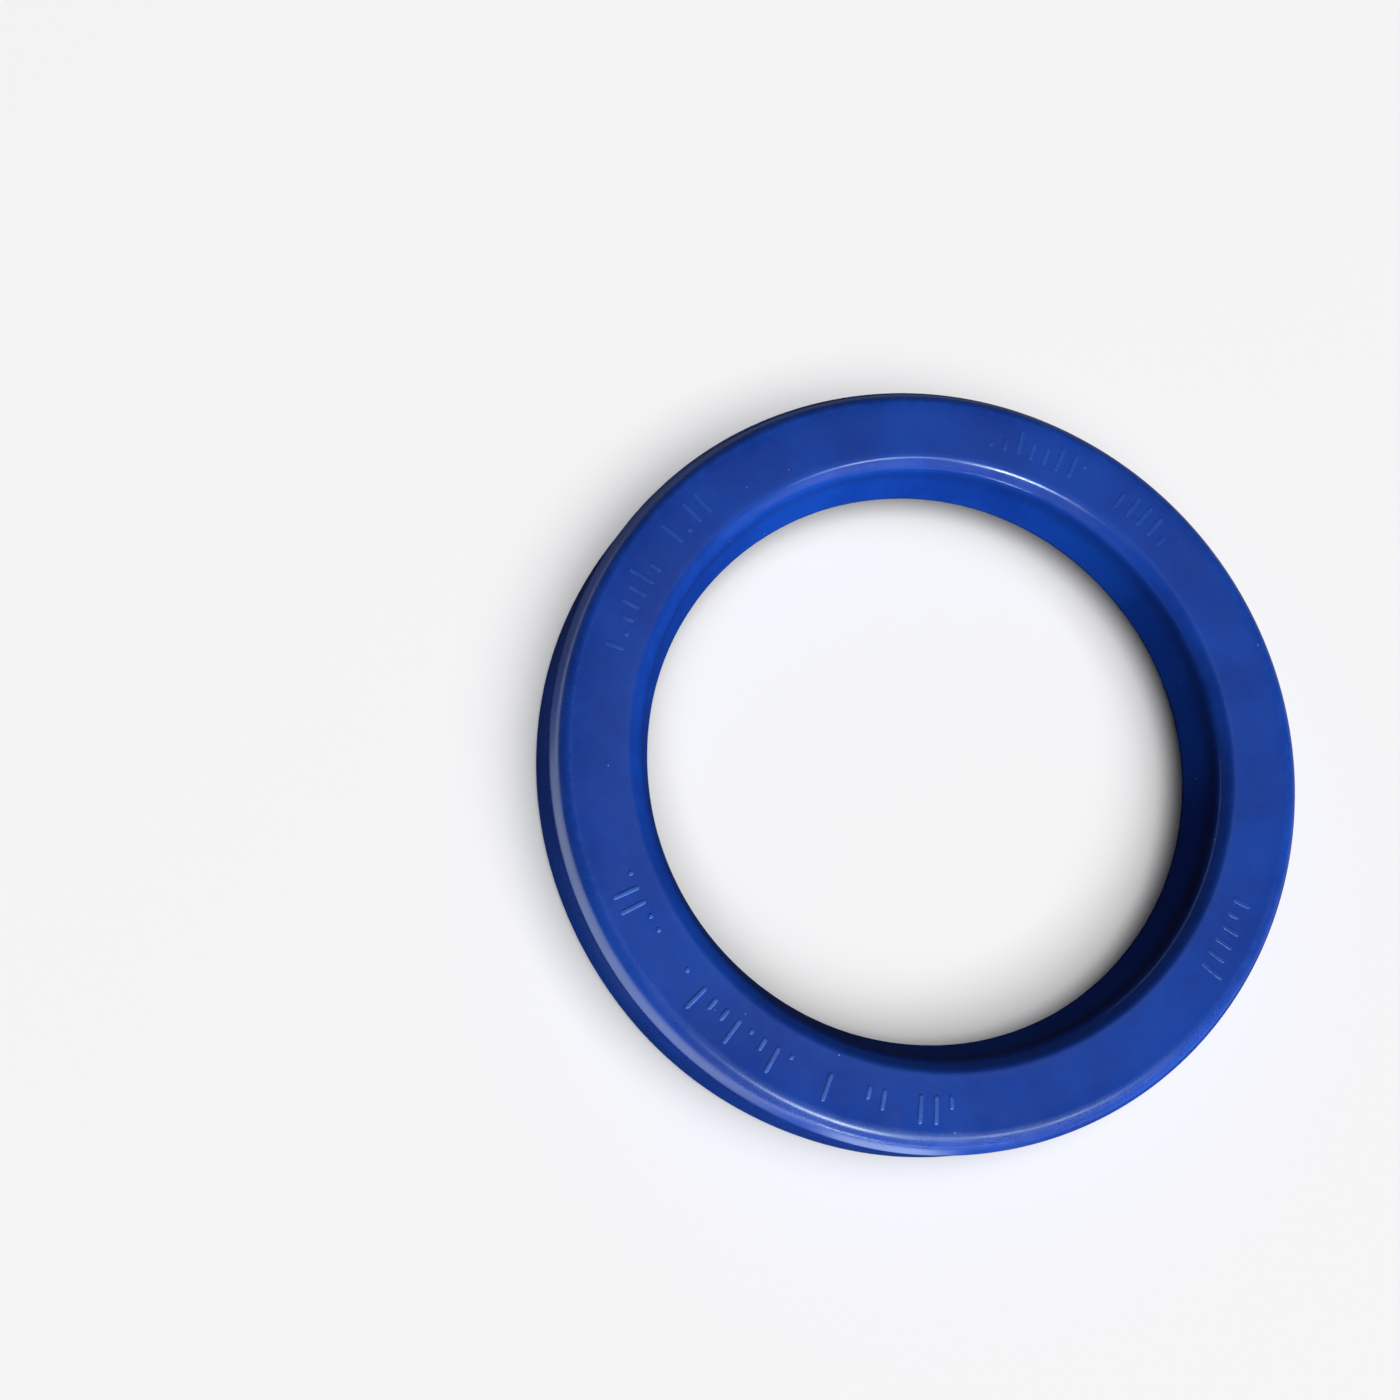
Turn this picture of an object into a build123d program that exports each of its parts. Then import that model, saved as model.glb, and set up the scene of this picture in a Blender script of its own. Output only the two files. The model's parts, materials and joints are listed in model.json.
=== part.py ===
# One-piece polyurethane lip seal (U-cup) for a hydraulic rod or piston.
# It lies on its lips with the flat heel up. Z is the seal's axis, and z = 0 is the plane it rests on.
# Lengths are in millimetres.
import os
from math import radians, tan

from build123d import *

# Room that the seal fills: a rod, and the housing groove around it
rod_diameter = 50.0
section_width = 7.5  # radial room from the rod to the bottom of the housing groove

# Overall height is the heel's thickness and the groove's depth together
heel_thickness = 4.3  # solid rubber from the flat back to the root of the pressure groove
groove_depth = 4.7  # from the root to the tip of the outer lip

# Heel: the thick ring with the flat back
rod_clearance = 0.1  # radial gap between the rod and the heel's bore
housing_squeeze = 0.2  # the heel is this much larger in radius than the housing groove
bore_bevel_width = 1.0  # lead-in bevel between the flat back and the bore
bore_bevel_height = 0.8
outer_bevel_width = 0.9  # steeper lead-in bevel between the flat back and the outer wall
outer_bevel_height = 1.6
bore_land = 1.9  # straight wall below the bore's bevel
outer_land = 1.0  # straight wall below the outer bevel

# Inner lip: short and thick, it seals against the rod
inner_lip_flare = 1.1  # how far its sealing edge stands in past the heel's bore
inner_lip_width = 3.65  # from the sealing edge out to the pressure groove
inner_lip_setback = 1.4  # how much shorter than the outer lip it is
inner_lip_flat = 0.8  # flat end of the lip, beside the groove
inner_lip_bevel_height = 1.9  # from the flat end up to the sealing edge

# Outer lip: long and slim, it seals against the housing
outer_lip_flare = 0.7  # how far its sealing edge stands out past the heel
outer_lip_flat = 0.65  # flat end of the lip, beside the groove, on which the seal rests
outer_lip_bevel_height = 1.1  # from the flat end up to the sealing edge

# Pressure groove between the lips
groove_mouth = 3.65  # radial width at the lips' tips
inner_wall_lean = 0.65  # how far the inner lip's wall comes in on its way to the root
outer_wall_lean = 1.0  # how far the outer lip's wall comes in on its way to the root
root_radius = 0.85

# The inner lip's nose is rounded. The heel's bevels and the outer lip have sharp corners.
inner_seal_radius = 0.8
sharp = 0.0
side_share = 0.45  # a rounding takes at most this share of the straight side beside it


def rounded_outline(corners):
    """Closed line through (x, z, radius) corners, each rounded as far as its sides leave room."""
    points = [Vector(x, z) for x, z, radius in corners]
    radii = []
    for index, (x, z, radius) in enumerate(corners):
        side_in = points[index] - points[index - 1]
        side_out = points[(index + 1) % len(points)] - points[index]
        half_turn = radians(side_in.get_angle(side_out) / 2)
        room = side_share * min(side_in.length, side_out.length)
        radii.append(min(radius, room / tan(half_turn)))
    return FilletPolyline(*points, radius=radii, close=True)


def seal_section():
    """Half section of the seal, on the XZ plane and to the right of the axis."""
    height = heel_thickness + groove_depth
    bore = rod_diameter / 2 + rod_clearance
    heel = rod_diameter / 2 + section_width + housing_squeeze
    inner_seal = bore - inner_lip_flare
    outer_seal = heel + outer_lip_flare
    inner_tip = inner_seal + inner_lip_width
    outer_tip = inner_tip + groove_mouth
    bore_top = height - bore_bevel_height
    wall_top = height - outer_bevel_height

    back = [
        (bore + bore_bevel_width, height, sharp),
        (heel - outer_bevel_width, height, sharp),
    ]
    outside = [
        (heel, wall_top, sharp),
        (heel, wall_top - outer_land, sharp),
        (outer_seal, outer_lip_bevel_height, sharp),
    ]
    groove = [
        (outer_tip + outer_lip_flat, 0, sharp),
        (outer_tip, 0, sharp),
        (outer_tip - outer_wall_lean, groove_depth, root_radius),
        (inner_tip + inner_wall_lean, groove_depth, root_radius),
        (inner_tip, inner_lip_setback, sharp),
        (inner_tip - inner_lip_flat, inner_lip_setback, sharp),
    ]
    inside = [
        (inner_seal, inner_lip_setback + inner_lip_bevel_height, inner_seal_radius),
        (bore, bore_top - bore_land, sharp),
        (bore, bore_top, sharp),
    ]
    return Plane.XZ * make_face(rounded_outline(back + outside + groove + inside))


seal_ring = revolve(seal_section(), Axis.Z)
seal_ring.label = "seal_ring"

os.makedirs("parts", exist_ok=True)
export_step(seal_ring, "parts/seal_ring.step")
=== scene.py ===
# Looks of a moulded polyurethane lip seal that lies on its lips with the flat heel up.
# Everything is in metres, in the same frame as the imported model.
import json
import math
import random

import bpy
from mathutils import Matrix, Vector


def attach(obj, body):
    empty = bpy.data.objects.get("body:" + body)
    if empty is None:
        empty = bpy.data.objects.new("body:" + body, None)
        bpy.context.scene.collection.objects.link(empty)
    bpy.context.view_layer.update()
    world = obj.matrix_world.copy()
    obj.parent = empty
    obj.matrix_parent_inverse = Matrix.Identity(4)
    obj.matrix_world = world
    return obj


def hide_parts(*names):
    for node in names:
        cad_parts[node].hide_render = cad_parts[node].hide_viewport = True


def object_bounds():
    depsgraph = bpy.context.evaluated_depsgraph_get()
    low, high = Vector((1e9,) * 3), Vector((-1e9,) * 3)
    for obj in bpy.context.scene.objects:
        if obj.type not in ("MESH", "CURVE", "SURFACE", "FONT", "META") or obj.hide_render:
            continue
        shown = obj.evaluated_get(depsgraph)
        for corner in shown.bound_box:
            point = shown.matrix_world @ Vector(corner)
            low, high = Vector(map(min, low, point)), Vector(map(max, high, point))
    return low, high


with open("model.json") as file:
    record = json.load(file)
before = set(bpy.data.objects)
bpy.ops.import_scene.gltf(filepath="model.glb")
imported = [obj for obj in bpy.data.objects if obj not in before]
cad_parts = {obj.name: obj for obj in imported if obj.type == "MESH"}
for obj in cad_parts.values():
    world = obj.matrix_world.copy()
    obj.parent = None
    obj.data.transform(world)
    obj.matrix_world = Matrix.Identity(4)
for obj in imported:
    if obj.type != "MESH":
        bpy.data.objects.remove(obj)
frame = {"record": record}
cad_low, cad_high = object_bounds()

MM = 0.001
NODE = "seal_ring"

# Camera, fitted to the photograph's view of the ring
PHOTO_SIDE = 1400  # pixels
FOCAL_PIXELS = 1459
SENSOR_WIDTH = 36  # millimetres, as Blender counts a lens
CLIP_START = 5 * MM
CAMERA_EYE = Vector((0, -43.8, 124.9)) * MM
CAMERA_RIGHT = Vector((0.4654, 0.8715, 0.1546))
CAMERA_UP = Vector((-0.8785, 0.4335, 0.2007))

# Section of the ring. The overall sizes come from the frame, the rest repeats the model's own.
HEIGHT = cad_high.z
OUTER_SEAL = cad_high.x
MOUNTS = {mount["name"]: mount for mount in frame["record"]["mounts"]}
BORE = MOUNTS["rod_bore"]["dims"]["r_mm"] * MM
HEEL = MOUNTS["heel_outside"]["dims"]["r_mm"] * MM
BORE_BEVEL_WIDTH = 1.0 * MM
BORE_BEVEL_HEIGHT = 0.8 * MM
HEEL_BEVEL_WIDTH = 0.9 * MM
HEEL_BEVEL_HEIGHT = 1.6 * MM
BORE_LAND = 1.9 * MM
OUTER_LAND = 1.0 * MM
GROOVE_DEPTH = 4.7 * MM
GROOVE_MOUTH = 3.65 * MM
INNER_WALL_LEAN = 0.65 * MM
OUTER_WALL_LEAN = 1.0 * MM
INNER_LIP_FLARE = 1.1 * MM
INNER_LIP_WIDTH = 3.65 * MM
INNER_LIP_SETBACK = 1.4 * MM
INNER_LIP_FLAT = 0.8 * MM
INNER_LIP_BEVEL_HEIGHT = 1.9 * MM
OUTER_LIP_FLAT = 0.65 * MM
OUTER_LIP_BEVEL_HEIGHT = 1.1 * MM

# Roundings of the moulded edges
BORE_EDGE_RADIUS = 1.1 * MM
BORE_FOOT_RADIUS = 1.1 * MM
HEEL_EDGE_RADIUS = 1.3 * MM
HEEL_FOOT_RADIUS = 0.8 * MM
FLARE_RADIUS = 2.5 * MM
OUTER_SEAL_RADIUS = 0.12 * MM
TIP_RADIUS = 0.15 * MM
ROOT_RADIUS = 0.85 * MM
NOSE_RADIUS = 0.8 * MM
SIDE_SHARE = 0.45  # a rounding takes at most this share of the straight side beside it

# Fineness of the mesh
STEPS_AROUND = 480
ARC_STEP = math.radians(7)
LEAST_ARC_STEPS = 2
SIDE_STEP = 0.4 * MM

# How much the section's corners are rubbed
FULL_WEAR = 1.0
SOME_WEAR = 0.6
LITTLE_WEAR = 0.3
NO_WEAR = 0.0

SEED = 7028
rng = random.Random(SEED)


def section_corners():
    """Corners (radius, height, rounding, wear) of the section, clockwise from the heel's inner edge."""
    inner_seal = BORE - INNER_LIP_FLARE
    inner_tip = inner_seal + INNER_LIP_WIDTH
    outer_tip = inner_tip + GROOVE_MOUTH
    bore_top = HEIGHT - BORE_BEVEL_HEIGHT
    wall_top = HEIGHT - HEEL_BEVEL_HEIGHT
    nose = INNER_LIP_SETBACK + INNER_LIP_BEVEL_HEIGHT
    return [
        (BORE + BORE_BEVEL_WIDTH, HEIGHT, BORE_EDGE_RADIUS, LITTLE_WEAR),
        (HEEL - HEEL_BEVEL_WIDTH, HEIGHT, HEEL_EDGE_RADIUS, FULL_WEAR),
        (HEEL, wall_top, HEEL_FOOT_RADIUS, SOME_WEAR),
        (HEEL, wall_top - OUTER_LAND, FLARE_RADIUS, NO_WEAR),
        (OUTER_SEAL, OUTER_LIP_BEVEL_HEIGHT, OUTER_SEAL_RADIUS, FULL_WEAR),
        (outer_tip + OUTER_LIP_FLAT, 0, TIP_RADIUS, SOME_WEAR),
        (outer_tip, 0, TIP_RADIUS, SOME_WEAR),
        (outer_tip - OUTER_WALL_LEAN, GROOVE_DEPTH, ROOT_RADIUS, NO_WEAR),
        (inner_tip + INNER_WALL_LEAN, GROOVE_DEPTH, ROOT_RADIUS, NO_WEAR),
        (inner_tip, INNER_LIP_SETBACK, TIP_RADIUS, SOME_WEAR),
        (inner_tip - INNER_LIP_FLAT, INNER_LIP_SETBACK, TIP_RADIUS, SOME_WEAR),
        (inner_seal, nose, NOSE_RADIUS, LITTLE_WEAR),
        (BORE, bore_top - BORE_LAND, FLARE_RADIUS, NO_WEAR),
        (BORE, bore_top, BORE_FOOT_RADIUS, LITTLE_WEAR),
    ]


def arc_points(before, corner, after, radius):
    """Points of the arc that rounds a corner, first tangent point to last."""
    back = (before - corner).normalized()
    ahead = (after - corner).normalized()
    half_turn = (math.pi - back.angle(ahead)) / 2
    room = SIDE_SHARE * min((before - corner).length, (after - corner).length)
    radius = min(radius, room / math.tan(half_turn))
    centre = corner + (back + ahead).normalized() * radius / math.cos(half_turn)
    start = corner + back * radius * math.tan(half_turn) - centre
    turn = math.copysign(2 * half_turn, -back.cross(ahead))
    steps = max(LEAST_ARC_STEPS, math.ceil(2 * half_turn / ARC_STEP))
    points = []
    for step in range(steps + 1):
        points.append(centre + Matrix.Rotation(turn * step / steps, 2) @ start)
    return points


def section_points():
    """The whole section as (radius, height, wear) points, on its arcs and along its straight sides."""
    corners = section_corners()
    places = [Vector((radius, height)) for radius, height, rounding, wear in corners]
    arcs = []
    for index, (radius, height, rounding, wear) in enumerate(corners):
        after = places[(index + 1) % len(places)]
        arcs.append((arc_points(places[index - 1], places[index], after, rounding), wear))
    points = []
    for index, (arc, wear) in enumerate(arcs):
        points += [(place.x, place.y, wear) for place in arc]
        next_arc, next_wear = arcs[(index + 1) % len(arcs)]
        start = arc[-1]
        side = next_arc[0] - start
        steps = math.ceil(side.length / SIDE_STEP)
        for step in range(1, steps):
            place = start + side * step / steps
            points.append((place.x, place.y, NO_WEAR))
    return points


def wave(turns_and_sizes):
    """A smooth periodic function of the angle, from (turns, size) pairs with seeded phases."""
    parts = [(turns, size, rng.uniform(0, math.tau)) for turns, size in turns_and_sizes]

    def value(angle):
        return sum(size * math.sin(turns * angle + phase) for turns, size, phase in parts)

    return value


# Small departures from a true ring, as on a soft moulded one
out_of_round = wave([(2, 0.04 * MM), (3, 0.02 * MM), (5, 0.01 * MM)])
outer_lip_wave = wave([(4, 0.03 * MM), (7, 0.02 * MM), (11, 0.01 * MM)])
inner_lip_wave = wave([(3, 0.03 * MM), (8, 0.02 * MM), (13, 0.01 * MM)])
heel_wave = wave([(3, 0.012 * MM), (7, 0.010 * MM), (12, 0.006 * MM)])
ROLL_START = 29.2 * MM  # from here outwards the heel rolls off a little
ROLL_DROP = 0.05 * MM


def heel_offset(radius, angle):
    """How far the heel's surface lies below a true plane."""
    outer = HEEL - HEEL_BEVEL_WIDTH
    rolled = min(max((radius - ROLL_START) / (outer - ROLL_START), 0), 1)
    inner = BORE + BORE_BEVEL_WIDTH
    across = min(max((radius - inner) / (outer - inner), 0), 1)
    return ROLL_DROP * rolled**2 + math.sin(math.pi * across) ** 2 * abs(heel_wave(angle))


def ring_place(radius, height, angle):
    """Place of a section point at an angle round the axis, with the ring's small irregularities."""
    towards_tip = 1 - height / HEIGHT
    middle = (BORE + HEEL) / 2
    lip = outer_lip_wave(angle) if radius > middle else inner_lip_wave(angle)
    reach = radius + out_of_round(angle) + towards_tip**2 * lip
    near_heel = max(0, 1 - (HEIGHT - height) / HEEL_BEVEL_HEIGHT)
    level = height - near_heel * heel_offset(radius, angle)
    return Vector((reach * math.cos(angle), reach * math.sin(angle), level))


def mesh_object(name, points, faces, material):
    """A smooth-shaded mesh object that rides on the part's one body."""
    mesh = bpy.data.meshes.new(name)
    mesh.from_pydata(points, [], faces)
    mesh.polygons.foreach_set("use_smooth", [True] * len(faces))
    mesh.materials.append(material)
    mesh.validate()
    mesh.update()
    piece = bpy.data.objects.new(name, mesh)
    bpy.context.collection.objects.link(piece)
    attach(piece, "root")
    return piece


def build_ring(material):
    """The ring itself: the section swept round the axis."""
    section = section_points()
    count = len(section)
    points = []
    for step in range(STEPS_AROUND):
        angle = math.tau * step / STEPS_AROUND
        points += [ring_place(radius, height, angle) for radius, height, wear in section]
    faces = []
    for step in range(STEPS_AROUND):
        here = step * count
        there = (step + 1) % STEPS_AROUND * count
        for index in range(count):
            other = (index + 1) % count
            faces.append((here + index, here + other, there + other, there + index))
    ring = mesh_object("seal_ring_surface", points, faces, material)
    wear_mask = ring.data.attributes.new("edge_wear", "FLOAT", "POINT")
    wear_mask.data.foreach_set("value", [wear for radius, height, wear in section] * STEPS_AROUND)
    return ring


# Moulded marks on the heel: rows of plain raised bars, dashes and dots
MARK_RADIUS = 28.1 * MM  # where the marks' inner ends line up
MARK_WIDTH = 0.42 * MM
MARK_SINK = 0.06 * MM  # how far a mark's foot reaches into the heel
MARK_PITCH = 1.25 * MM
MARK_LENGTHS = (1.9 * MM, 1.9 * MM, 1.3 * MM, 0.7 * MM, 0.05 * MM)
CLEAR_RELIEF = 0.045 * MM
FAINT_RELIEF = 0.018 * MM
# Middle of each row in degrees round the axis, how many marks it has, and how far they stand up
MARK_ROWS = (
    (-31, 3, CLEAR_RELIEF),
    (-41, 2, CLEAR_RELIEF),
    (-49, 1, CLEAR_RELIEF),
    (-65, 8, CLEAR_RELIEF),
    (-78, 1, CLEAR_RELIEF),
    (-91, 5, CLEAR_RELIEF),
    (30, 6, FAINT_RELIEF),
    (-142, 7, FAINT_RELIEF),
    (-160, 4, FAINT_RELIEF),
    (133, 7, FAINT_RELIEF),
    (110, 5, FAINT_RELIEF),
)
# Share of a mark's half width, and share of its relief
DOME_PROFILE = ((1.0, 0.0), (0.86, 0.55), (0.55, 0.88), (0.2, 1.0))
OUTLINE_STEPS = 8  # points round each end of a mark


def mark_outline(length, half_width):
    """Points round a straight bar with round ends, counterclockwise, along its own x."""
    outline = []
    for end in (1, -1):
        for step in range(OUTLINE_STEPS + 1):
            turn = math.pi * (step / OUTLINE_STEPS - 0.5)
            x = math.cos(turn) * half_width + length / 2
            outline.append((end * x, end * math.sin(turn) * half_width))
    return outline


def add_mark(points, faces, angle, length, relief):
    """Adds one closed domed bar along a radius of the ring, with its foot in the heel."""
    radius = MARK_RADIUS + length / 2
    centre = Vector((radius * math.cos(angle), radius * math.sin(angle)))
    turn = Matrix.Rotation(angle, 2)
    surface = HEIGHT - heel_offset(radius, angle)
    levels = [(1.0, -MARK_SINK)] + [(share, part * relief) for share, part in DOME_PROFILE]
    first = len(points)
    for share, level in levels:
        for x, y in mark_outline(length, MARK_WIDTH / 2 * share):
            place = centre + turn @ Vector((x, y))
            points.append((place.x, place.y, surface + level))
    around = (len(points) - first) // len(levels)
    for level in range(len(levels) - 1):
        low = first + level * around
        for index in range(around):
            other = (index + 1) % around
            faces.append((low + index, low + other, low + around + other, low + around + index))
    top = first + (len(levels) - 1) * around
    faces.append(tuple(range(top, top + around)))
    faces.append(tuple(range(first + around - 1, first - 1, -1)))


def build_marks(material):
    """All the marks as one piece, painted paler than the heel: a painted highlight for the light their
    raised strokes catch. The lower a mark is, the less this painted highlight makes it differ in colour
    from the heel.
    """
    points = []
    faces = []
    paleness = []
    for middle, count, relief in MARK_ROWS:
        for index in range(count):
            step = (index - (count - 1) / 2) * MARK_PITCH / MARK_RADIUS
            add_mark(points, faces, math.radians(middle) + step, rng.choice(MARK_LENGTHS), relief)
        # A mark's painted highlight grows with its relief
        paleness += [relief / CLEAR_RELIEF] * (len(points) - len(paleness))
    marks = mesh_object("moulded_marks", points, faces, material)
    pale = marks.data.attributes.new("mark_pale", "FLOAT", "POINT")
    pale.data.foreach_set("value", paleness)
    return marks


def add_node(tree, kind, inputs, **settings):
    """Adds a shader node. An input is a plain value or another node's output socket."""
    node = tree.nodes.new(kind)
    for name, value in settings.items():
        setattr(node, name, value)
    for key, value in inputs.items():
        if isinstance(value, bpy.types.NodeSocket):
            tree.links.new(value, node.inputs[key])
        else:
            node.inputs[key].default_value = value
    return node


def calculate(tree, operation, *values):
    """Output of a Math node on one to three values."""
    return add_node(tree, "ShaderNodeMath", dict(enumerate(values)), operation=operation).outputs[0]


def fade(tree, value, start, stop, to_start=0.0, to_stop=1.0):
    """Smooth step of a value between two limits."""
    inputs = {"Value": value, "From Min": start, "From Max": stop, "To Min": to_start, "To Max": to_stop}
    node = add_node(tree, "ShaderNodeMapRange", inputs, interpolation_type="SMOOTHSTEP")
    return node.outputs["Result"]


def noise(tree, place, size, detail=2.0):
    """Noise from 0 to 1 whose lumps are about as large as size."""
    inputs = {"Vector": place, "Scale": 1 / size, "Detail": detail}
    return add_node(tree, "ShaderNodeTexNoise", inputs).outputs["Fac"]


# Where a Mix node keeps the sockets that it uses for colours
MIX_SHARE = 0
MIX_FIRST = 6
MIX_SECOND = 7
MIX_RESULT = 2


def blend_colors(tree, share, first, second):
    """First colour where share is 0, second where it is 1."""
    node = tree.nodes.new("ShaderNodeMix")
    node.data_type = "RGBA"
    tree.links.new(share, node.inputs[MIX_SHARE])
    for key, value in ((MIX_FIRST, first), (MIX_SECOND, second)):
        if isinstance(value, bpy.types.NodeSocket):
            tree.links.new(value, node.inputs[key])
        else:
            node.inputs[key].default_value = (*value, 1)
    return node.outputs[MIX_RESULT]


# Linear colours of the moulded polyurethane
BLUE = (0.004, 0.044, 0.318)
DEEP_BLUE = (0.003, 0.031, 0.246)
LIGHT_BLUE = (0.007, 0.054, 0.360)
# Paler blue of the worn edges, and of the marks' painted highlight
WORN_AND_HIGHLIGHT_BLUE = (0.030, 0.105, 0.430)
DUST = (0.30, 0.34, 0.42)

# Noises of the surface: how large their lumps are, and how much detail they have
CLOUDS = (9 * MM, 3.0)
SMUDGES = (4 * MM, 4.0)
PEEL = (2.2 * MM, 1.0)
MOTTLE = (0.9 * MM, 3.0)
TURNED_RINGS = (0.22 * MM, 2.0)
GRAIN = (0.16 * MM, 2.0)
# Where in a noise each effect sets in and where it is full
CLOUD_RANGE = (0.35, 0.65)
LIGHT_RANGE = (0.40, 0.80)
WORN_RANGE = (0.35, 0.70)
# PALE_RANGE and PALE_SHARES below shape the marks' painted highlight
PALE_RANGE = (0.3, 0.7)
SMUDGE_RANGE = (0.35, 0.7)
GRAIN_RANGE = (0.3, 0.7)
# How strong each effect is: its most alone, or its least and its most
LIGHT_SHARE = 0.25
WORN_SHARES = (0.03, 0.12)
PALE_SHARES = (0.35, 0.75)
ROUGHNESSES = (0.15, 0.21)
GRAIN_ROUGHNESSES = (-0.02, 0.02)
EXTRA_ROUGHNESS = 0.12  # of a fully worn edge, and of a clear mark
GLOSS_IOR = 1.5
# Dust: a speck in about one cell in five. Its core and its rim are shares of the cell's size.
SPECK_SPACING = 1.6 * MM
SPECK_SIZES = (0.03, 0.055)
SPECK_SHARES = (0.5, 0.0)
CHOSEN_CELLS = (0.80, 0.82)
# Heights of the surface's lumps, in millimetres
GRAIN_HEIGHT = 0.002
PEEL_HEIGHT = 0.008
RING_HEIGHT = 0.004
SPECK_HEIGHT = 0.02


def polyurethane_material():
    """Satin blue polyurethane: mottled, finely grained, with turned rings, worn edges and some dust. The
    marks are painted paler, a painted highlight.
    """
    material = bpy.data.materials.new("blue_polyurethane")
    material.use_nodes = True
    tree = material.node_tree
    shader = tree.nodes["Principled BSDF"]
    place = add_node(tree, "ShaderNodeTexCoord", {}).outputs["Object"]
    split = add_node(tree, "ShaderNodeSeparateXYZ", {"Vector": place})
    flat = add_node(tree, "ShaderNodeCombineXYZ", {"X": split.outputs["X"], "Y": split.outputs["Y"]})
    out = add_node(tree, "ShaderNodeVectorMath", {0: flat.outputs[0]}, operation="LENGTH")
    radius = out.outputs["Value"]
    around = add_node(tree, "ShaderNodeCombineXYZ", {"X": radius, "Y": split.outputs["Z"]}).outputs[0]

    clouds = noise(tree, place, *CLOUDS)
    mottle = noise(tree, place, *MOTTLE)
    grain = noise(tree, place, *GRAIN)
    smudges = noise(tree, place, *SMUDGES)
    peel = noise(tree, place, *PEEL)
    rings = noise(tree, around, *TURNED_RINGS)

    color = blend_colors(tree, fade(tree, clouds, *CLOUD_RANGE), DEEP_BLUE, BLUE)
    lighter = calculate(tree, "MULTIPLY", fade(tree, mottle, *LIGHT_RANGE), LIGHT_SHARE)
    color = blend_colors(tree, lighter, color, LIGHT_BLUE)
    edge = add_node(tree, "ShaderNodeAttribute", {}, attribute_name="edge_wear").outputs["Fac"]
    worn = calculate(tree, "MULTIPLY", edge, fade(tree, mottle, *WORN_RANGE, *WORN_SHARES))
    # The marks are painted paler: a painted highlight for the light that their raised strokes catch. The
    # edges' paler tone is wear.
    mark = add_node(tree, "ShaderNodeAttribute", {}, attribute_name="mark_pale").outputs["Fac"]
    pale = calculate(tree, "MULTIPLY_ADD", mark, fade(tree, mottle, *PALE_RANGE, *PALE_SHARES), worn)
    color = blend_colors(tree, pale, color, WORN_AND_HIGHLIGHT_BLUE)
    cells = add_node(tree, "ShaderNodeTexVoronoi", {"Vector": place, "Scale": 1 / SPECK_SPACING})
    cell_color = add_node(tree, "ShaderNodeSeparateColor", {"Color": cells.outputs["Color"]})
    chosen = fade(tree, cell_color.outputs["Red"], *CHOSEN_CELLS)
    specks = fade(tree, cells.outputs["Distance"], *SPECK_SIZES, *SPECK_SHARES)
    specks = calculate(tree, "MULTIPLY", specks, chosen)
    color = blend_colors(tree, specks, color, DUST)
    tree.links.new(color, shader.inputs["Base Color"])

    rough = fade(tree, smudges, *SMUDGE_RANGE, *ROUGHNESSES)
    rough = calculate(tree, "ADD", rough, fade(tree, grain, *GRAIN_RANGE, *GRAIN_ROUGHNESSES))
    rough = calculate(tree, "MULTIPLY_ADD", edge, EXTRA_ROUGHNESS, rough)
    rough = calculate(tree, "MULTIPLY_ADD", mark, EXTRA_ROUGHNESS, rough)
    tree.links.new(rough, shader.inputs["Roughness"])
    shader.inputs["IOR"].default_value = GLOSS_IOR

    height = calculate(tree, "MULTIPLY", grain, GRAIN_HEIGHT)
    height = calculate(tree, "MULTIPLY_ADD", peel, PEEL_HEIGHT, height)
    broken_rings = calculate(tree, "MULTIPLY", rings, clouds)
    height = calculate(tree, "MULTIPLY_ADD", broken_rings, RING_HEIGHT, height)
    height = calculate(tree, "MULTIPLY_ADD", specks, SPECK_HEIGHT, height)
    bump = add_node(tree, "ShaderNodeBump", {"Height": height, "Distance": MM, "Strength": 1.0})
    tree.links.new(bump.outputs["Normal"], shader.inputs["Normal"])
    return material


FLOOR_GREY = 0.93
FLOOR_ROUGHNESS = 0.6
FLOOR_HALF_SIDE = 4.0
# Share of the floor's brightness that the ring itself sees, close by and further off: painted shade, so
# the floor looks dark in the ring's reflections and bounce light
FLOOR_NEAR = 0.02
FLOOR_AWAY = 0.30
SHADE_INSIDE = 40 * MM
SHADE_OUTSIDE = 47 * MM
# What soft light adds to that share for the ring's bounce light, inside the ring and around it; the low
# share inside is painted shade in the bore
BOUNCE_INSIDE = 0.03
BOUNCE_OUTSIDE = 0.8
# The floor's bright side, a painted reflection that the ring's gloss mirrors: everything past a line in
# front of the ring, which the ring sees at full brightness and glowing
BRIGHT_TURN = math.radians(-85)
BRIGHT_SIDE = Vector((math.cos(BRIGHT_TURN), math.sin(BRIGHT_TURN), 0))
BRIGHT_FROM = 34 * MM
BRIGHT_FULL = 46 * MM
BRIGHT_GLOW = 1.6
# A painted highlight: a small bright glowing spot of the floor beside the ring, again only for the
# ring's gloss
PATCH_PLACE = Vector((39, -25, 0)) * MM
PATCH_INSIDE = 4 * MM
PATCH_OUTSIDE = 11 * MM
PATCH_GLOW = 2.8
# This colour also tints the floor's painted reflection and painted highlight
GLOW_COLOR = (0.78, 0.95, 1.0)  # of the gloss lamps, the bright side and the patch
# Far from the ring the floor turns into the backdrop, so no edge shows at the horizon
BACKDROP = 0.90
FLOOR_FADE_START = 0.12
FLOOR_FADE_STOP = 0.50


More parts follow.
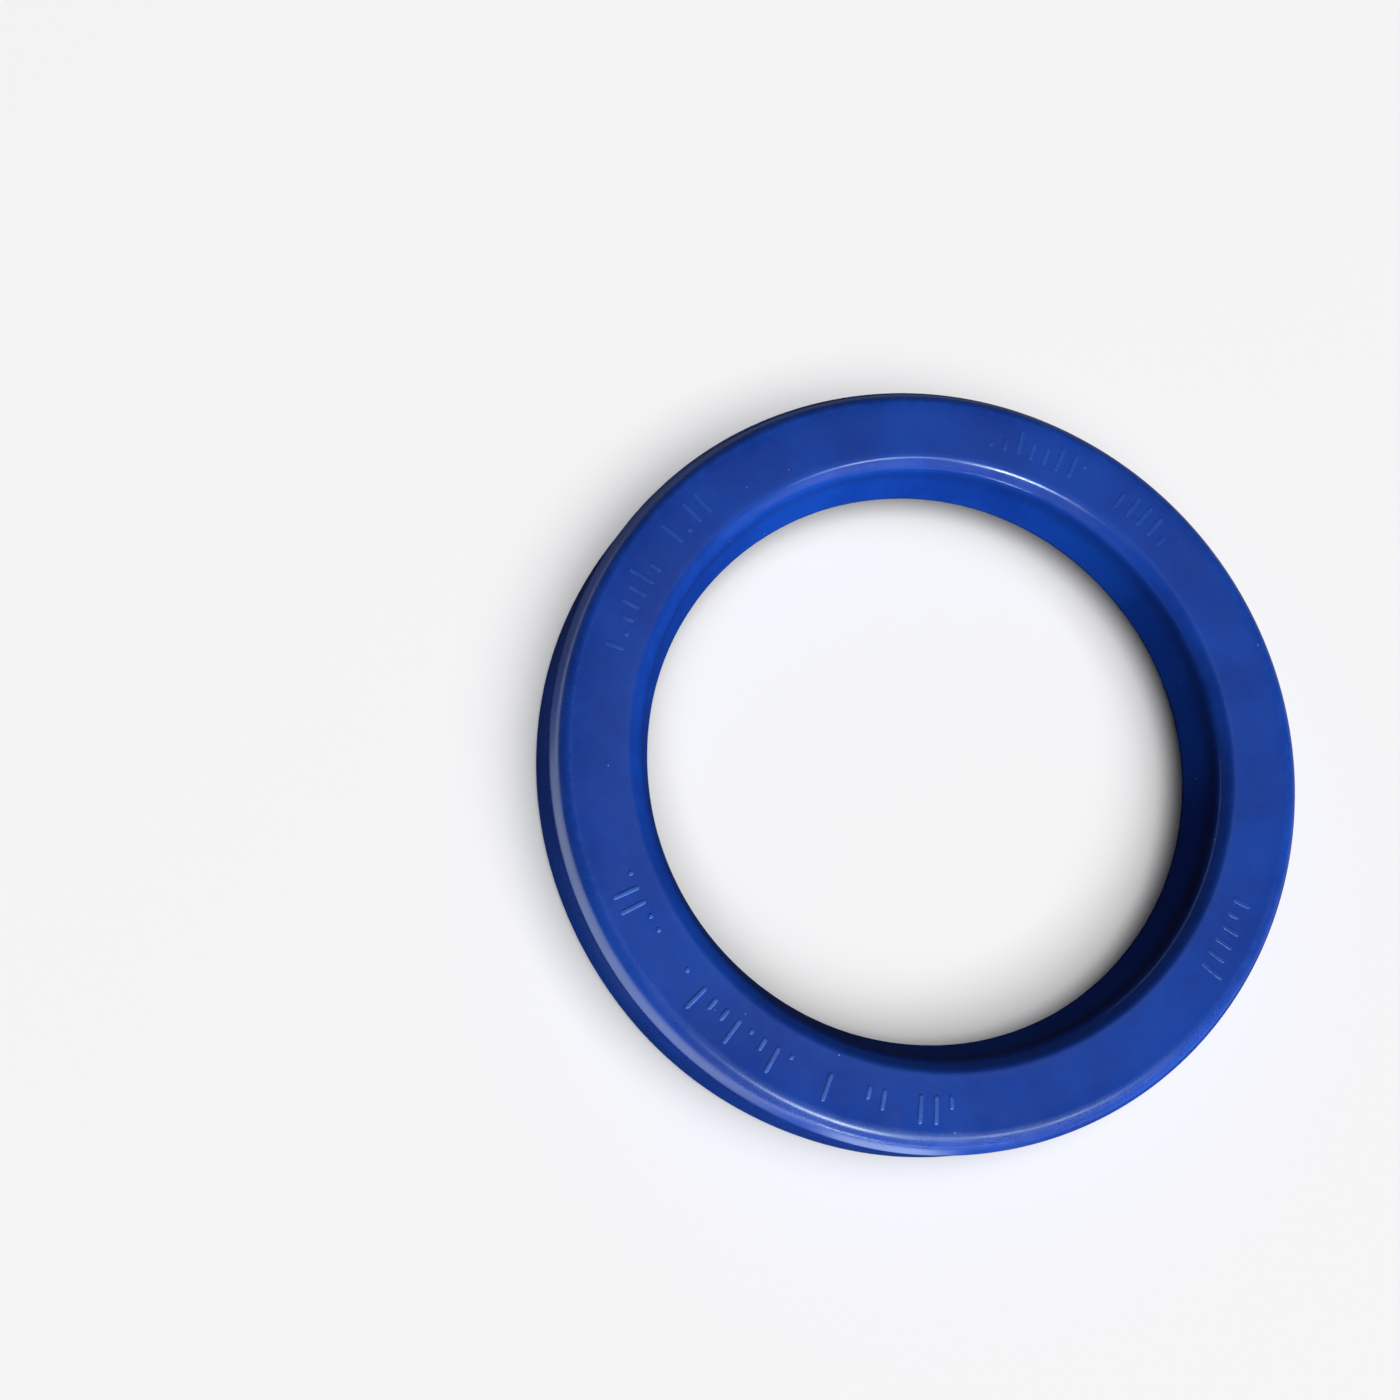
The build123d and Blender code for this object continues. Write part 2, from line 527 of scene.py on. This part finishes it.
def floor_material():
    """Pale matt floor. The ring sees it with painted shade close by, and on one side a painted
    reflection and a painted highlight that glow.
    """
    material = bpy.data.materials.new("pale_floor")
    material.use_nodes = True
    tree = material.node_tree
    shader = tree.nodes["Principled BSDF"]
    place = add_node(tree, "ShaderNodeTexCoord", {}).outputs["Object"]
    distance = add_node(tree, "ShaderNodeVectorMath", {0: place}, operation="LENGTH").outputs["Value"]
    rays = add_node(tree, "ShaderNodeLightPath", {})
    # Painted reflection: past a line in front of the ring the floor shows bright to the ring
    ahead = add_node(tree, "ShaderNodeVectorMath", {0: place, 1: BRIGHT_SIDE}, operation="DOT_PRODUCT")
    painted_reflection_side = fade(tree, ahead.outputs["Value"], BRIGHT_FROM, BRIGHT_FULL)
    # Painted shadow: the ring's rays see the floor dark close by and dim further off
    share = fade(tree, distance, SHADE_INSIDE, SHADE_OUTSIDE, FLOOR_NEAR, FLOOR_AWAY)
    # Painted shade in the bore: the ring's bounce light from the floor inside it is kept low
    painted_bounce_shade = fade(tree, distance, BORE, OUTER_SEAL, BOUNCE_INSIDE, BOUNCE_OUTSIDE)
    share = calculate(tree, "MULTIPLY_ADD", rays.outputs["Is Diffuse Ray"], painted_bounce_shade, share)
    share = calculate(tree, "MAXIMUM", share, painted_reflection_side)
    share = calculate(tree, "MAXIMUM", share, rays.outputs["Is Camera Ray"])
    shown = fade(tree, distance, FLOOR_FADE_START, FLOOR_FADE_STOP, 1.0, 0.0)
    share = calculate(tree, "MULTIPLY", share, shown)
    color = blend_colors(tree, share, (0, 0, 0), (FLOOR_GREY,) * 3)
    tree.links.new(color, shader.inputs["Base Color"])
    horizon = calculate(tree, "MULTIPLY_ADD", shown, -BACKDROP, BACKDROP)
    horizon = calculate(tree, "MULTIPLY", horizon, rays.outputs["Is Camera Ray"])
    # Painted highlight: a glowing spot beside the ring
    aside = add_node(tree, "ShaderNodeVectorMath", {0: place, 1: PATCH_PLACE}, operation="DISTANCE")
    painted_highlight_patch = fade(tree, aside.outputs["Value"], PATCH_INSIDE, PATCH_OUTSIDE, PATCH_GLOW, 0.0)
    # The painted reflection and highlight glow only in gloss; the backdrop glow is for the camera
    painted_and_backdrop_glow = calculate(tree, "MULTIPLY_ADD", painted_reflection_side, BRIGHT_GLOW, painted_highlight_patch)
    painted_and_backdrop_glow = calculate(tree, "MULTIPLY_ADD", painted_and_backdrop_glow, rays.outputs["Is Glossy Ray"], horizon)
    tree.links.new(painted_and_backdrop_glow, shader.inputs["Emission Strength"])
    tint = blend_colors(tree, rays.outputs["Is Glossy Ray"], (1, 1, 1), GLOW_COLOR)
    tree.links.new(tint, shader.inputs["Emission Color"])
    shader.inputs["Roughness"].default_value = FLOOR_ROUGHNESS
    shader.inputs["Specular IOR Level"].default_value = 0.0
    return material


def make_floor():
    """The floor that the seal lies on, at z = 0."""
    half = FLOOR_HALF_SIDE
    corners = [(-half, -half, 0), (half, -half, 0), (half, half, 0), (-half, half, 0)]
    mesh = bpy.data.meshes.new("floor")
    mesh.from_pydata(corners, [], [(0, 1, 2, 3)])
    mesh.materials.append(floor_material())
    floor = bpy.data.objects.new("floor", mesh)
    bpy.context.collection.objects.link(floor)
    return floor


# Which light a lamp gives: what matt colour shows, or what gloss mirrors
MATT = "matt"
GLOSS = "gloss"
# A lamp's shape, and how much of its width times its height that fills. A mirrored ellipse tapers.
LAMP_SHAPES = {MATT: ("RECTANGLE", 1.0), GLOSS: ("ELLIPSE", math.pi / 4)}
SEAL_LAMP_DISTANCE = 2.0
SEAL_LAMPS = (
    # name, azimuth and elevation in degrees, width, height, radiance, kind
    ("key_right", 12, 28, 1.5, 0.8, 15.0, MATT),
    ("fill_near", -36, 26, 1.2, 0.8, 7.5, MATT),
    ("fill_top", 100, 84, 0.9, 0.9, 4.0, MATT),
    ("sheen_top", 90, 69, 1.1, 1.1, 0.36, GLOSS),
    ("edge_line", -2, 63, 1.0, 0.5, 2.2, GLOSS),
    ("edge_glint", -20, 56, 0.28, 0.4, 70.0, GLOSS),
    ("edge_gleam", 22, 57, 0.35, 0.4, 18.0, GLOSS),
    ("foot_line", -14, 3, 1.8, 0.22, 3.0, GLOSS),
    ("foot_glint", -31, 2.5, 0.26, 0.16, 42.0, GLOSS),
    ("low_window", -70, 3, 2.4, 0.2, 1.2, GLOSS),
    ("far_window", 200, 4, 3.0, 0.3, 1.2, GLOSS),
)
FLOOR_LAMP_DISTANCE = 2.5
FLOOR_LAMP = ("floor_soft", 0, 78, 3.2, 3.2, 2.95, MATT)


def make_lamp(lit, distance, name, azimuth, elevation, width, height, radiance, kind):
    """A soft light that faces the origin and falls on one collection. Azimuth is from +X."""
    shape, filled = LAMP_SHAPES[kind]
    lamp = bpy.data.lights.new(name, "AREA")
    lamp.shape = shape
    lamp.size = width
    lamp.size_y = height
    lamp.energy = radiance * math.pi * (width * height * filled)
    if kind == GLOSS:
        lamp.color = GLOW_COLOR
    light = bpy.data.objects.new(name, lamp)
    bpy.context.collection.objects.link(light)
    turn = math.radians(azimuth)
    rise = math.radians(elevation)
    out = Vector((math.cos(rise) * math.cos(turn), math.cos(rise) * math.sin(turn), math.sin(rise)))
    light.location = out * distance
    light.rotation_euler = out.to_track_quat("Z", "Y").to_euler()
    light.visible_camera = False
    light.visible_diffuse = kind == MATT
    light.visible_glossy = kind == GLOSS
    light.light_linking.receiver_collection = lit


def lit_group(name, objects):
    """A collection that lamps can be aimed at. It isn't part of the scene's own tree."""
    group = bpy.data.collections.new(name)
    for item in objects:
        group.objects.link(item)
    return group


ROOM_GLOSS = 0.07  # brightness of the room in reflections


def make_lights(seal_pieces, floor):
    """The lamps, and a room that only shows behind the floor and, dimly, in reflections."""
    seal_group = lit_group("lit_seal", seal_pieces)
    for lamp in SEAL_LAMPS:
        make_lamp(seal_group, SEAL_LAMP_DISTANCE, *lamp)
    make_lamp(lit_group("lit_floor", [floor]), FLOOR_LAMP_DISTANCE, *FLOOR_LAMP)
    world = bpy.data.worlds.new("studio")
    world.use_nodes = True
    tree = world.node_tree
    seen = add_node(tree, "ShaderNodeLightPath", {}).outputs["Is Camera Ray"]
    strength = calculate(tree, "MULTIPLY_ADD", seen, BACKDROP - ROOM_GLOSS, ROOM_GLOSS)
    background = tree.nodes["Background"]
    background.inputs["Color"].default_value = (1, 1, 1, 1)
    tree.links.new(strength, background.inputs["Strength"])
    world.cycles_visibility.diffuse = False
    bpy.context.scene.world = world


def make_camera():
    """The scene's camera, in the place from which the photograph shows the ring."""
    lens = bpy.data.cameras.new("photo_camera")
    lens.sensor_width = SENSOR_WIDTH
    lens.lens = SENSOR_WIDTH * FOCAL_PIXELS / PHOTO_SIDE
    lens.clip_start = CLIP_START
    camera = bpy.data.objects.new("photo_camera", lens)
    bpy.context.collection.objects.link(camera)
    back = CAMERA_RIGHT.cross(CAMERA_UP).normalized()
    right = CAMERA_UP.cross(back).normalized()
    turn = Matrix((right, back.cross(right), back)).transposed()
    camera.matrix_world = Matrix.Translation(CAMERA_EYE) @ turn.to_4x4()
    bpy.context.scene.camera = camera


make_camera()
floor = make_floor()
rubber = polyurethane_material()
seal_ring = build_ring(rubber)
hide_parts(NODE)
marks = build_marks(rubber)
make_lights([seal_ring, marks], floor)
bpy.context.scene.view_settings.view_transform = "Standard"
